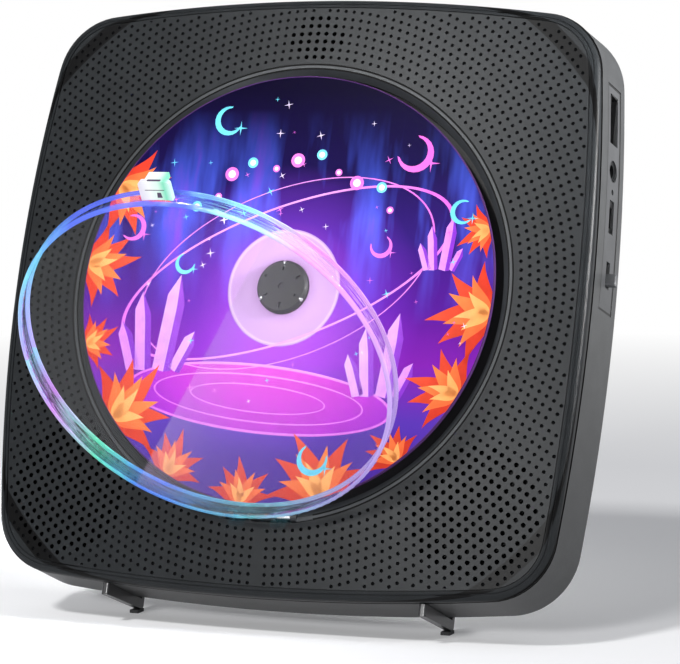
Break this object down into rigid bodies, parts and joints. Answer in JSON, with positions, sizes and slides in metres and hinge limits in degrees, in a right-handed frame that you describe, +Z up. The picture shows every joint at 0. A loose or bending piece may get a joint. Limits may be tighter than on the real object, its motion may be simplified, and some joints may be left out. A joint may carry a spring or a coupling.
{
  "type": "disc player with hinged clear lid on a desk stand",
  "caption": "Square wall-mountable disc player leaning on a desk stand: domed perforated front, hinged round clear lid, printed disc on a spindle, side sockets, top keys.",
  "frame": {"origin": "middle of the rubber foot of the stand leg, on the desk", "axes": "+Z up, front of the player towards -Y, +X to the viewer right; the face leans back 17.5 degrees"},
  "size_m": [0.1729, 0.1494, 0.171],
  "materials": {
    "cover_charcoal": "satin",
    "ring_black": "gloss",
    "housing_charcoal": "satin",
    "tray_black": "matt",
    "clear_plastic": "clear",
    "tab_plastic": "frosted",
    "disc_print": "printed",
    "dark_plastic": "matt",
    "soft_rubber": "matt",
    "bright_steel": "polished",
    "screw_steel": "zinc",
    "motor_steel": "brushed",
    "deck_steel": "satin",
    "lens_glass": "clear",
    "cone_paper": "matt",
    "magnet_steel": "matt",
    "foam": "matt",
    "panel_charcoal": "matt",
    "socket_metal": "dull",
    "socket_plastic": "gloss",
    "lamp_clear": "clear",
    "key_grey": "satin",
    "board_green": "satin",
    "chip_black": "matt",
    "battery_wrap": "satin",
    "smoked_clear": "gloss",
    "stand_black": "satin"
  },
  "bodies": {
    "player": {"battery_pack": "battery_wrap", "board_chips": "chip_black", "board_screws": "screw_steel", "charge_port": "socket_metal", "damper_grommets": "soft_rubber", "deck_chassis": "deck_steel", "deck_screws": "screw_steel", "front_cover": "cover_charcoal", "guide_rods": "bright_steel", "headphone_jack": "socket_plastic", "housing_screws": "screw_steel", "io_panel": "panel_charcoal", "ir_board": "board_green", "ir_window": "smoked_clear", "key_board": "board_green", "leg_pin": "bright_steel", "lid_pin": "bright_steel", "main_board": "board_green", "rear_housing": "housing_charcoal", "sled_motor": "motor_steel", "speaker_cone_left": "cone_paper", "speaker_cone_right": "cone_paper", "speaker_frame_left": "motor_steel", "speaker_frame_right": "motor_steel", "speaker_gaskets": "foam", "speaker_magnet_left": "magnet_steel", "speaker_magnet_right": "magnet_steel", "speaker_screws": "screw_steel", "spindle_motor": "motor_steel", "stand_boots": "soft_rubber", "stand_frame": "stand_black", "status_lamp": "lamp_clear", "switch_body": "dark_plastic", "tray_screws": "screw_steel", "usb_port": "socket_metal", "well_ring": "ring_black", "well_tray": "tray_black"},
    "lid": {"lid_window": "clear_plastic", "lid_rim": "clear_plastic", "lid_tab": "tab_plastic"},
    "rotor": {"turntable": "dark_plastic", "turntable_pad": "soft_rubber", "spindle_hub": "dark_plastic", "hub_balls": "bright_steel", "motor_shaft": "bright_steel"},
    "disc": {"compact_disc": "disc_print"},
    "sled": {"pickup_sled": "dark_plastic", "pickup_lens": "lens_glass"},
    "feed_screw": {"lead_screw": "bright_steel"},
    "switch_slider": {"switch_knob": "key_grey"},
    "volume_down_key": {"key_volume_down": "key_grey"},
    "previous_key": {"key_previous": "key_grey"},
    "play_key": {"key_play": "key_grey"},
    "next_key": {"key_next": "key_grey"},
    "volume_up_key": {"key_volume_up": "key_grey"},
    "leg": {"stand_leg": "stand_black", "leg_foot_pad": "soft_rubber"}
  },
  "joints": [
    {"name": "lid_hinge", "type": "hinge", "parent": "player", "child": "lid", "pos_m": [0, -0.07687, 0.03206], "axis": [1, 0, 0], "range_deg": [-49.5, 0]},
    {"name": "disc_spin", "type": "hinge", "parent": "player", "child": "rotor", "pos_m": [0, -0.05969, 0.09186], "axis": [0, -0.9537, 0.3007], "continuous": true},
    {"name": "disc_lift", "type": "slide", "parent": "rotor", "child": "disc", "axis": [0, -0.9537, 0.3007], "range_m": [0, 0.003]},
    {"name": "feed_screw_spin", "type": "hinge", "parent": "player", "child": "feed_screw", "pos_m": [-0.04, -0.03772, 0.09437], "axis": [1, 0, 0], "range_deg": [0, 3961]},
    {"name": "sled_slide", "type": "slide", "parent": "player", "child": "sled", "axis": [-1, 0, 0], "range_m": [0, 0.033]},
    {"name": "switch_slide", "type": "slide", "parent": "player", "child": "switch_slider", "axis": [0, 0.3007, 0.9537], "range_m": [0, 0.0032]},
    {"name": "volume_down_press", "type": "slide", "parent": "player", "child": "volume_down_key", "axis": [0, -0.3007, -0.9537], "range_m": [0, 0.001], "stiffness_N_per_m": 400},
    {"name": "previous_press", "type": "slide", "parent": "player", "child": "previous_key", "axis": [0, -0.3007, -0.9537], "range_m": [0, 0.001], "stiffness_N_per_m": 400},
    {"name": "play_press", "type": "slide", "parent": "player", "child": "play_key", "axis": [0, -0.3007, -0.9537], "range_m": [0, 0.001], "stiffness_N_per_m": 400},
    {"name": "next_press", "type": "slide", "parent": "player", "child": "next_key", "axis": [0, -0.3007, -0.9537], "range_m": [0, 0.001], "stiffness_N_per_m": 400},
    {"name": "volume_up_press", "type": "slide", "parent": "player", "child": "volume_up_key", "axis": [0, -0.3007, -0.9537], "range_m": [0, 0.001], "stiffness_N_per_m": 400},
    {"name": "leg_fold", "type": "hinge", "parent": "player", "child": "leg", "pos_m": [0, -0.03052, 0.07428], "axis": [-1, 0, 0], "range_deg": [0, 36]}
  ],
  "couplings": [
    {"joint": "feed_screw_spin", "follows": "sled_slide", "rad_per_m": 2094.4}
  ]
}
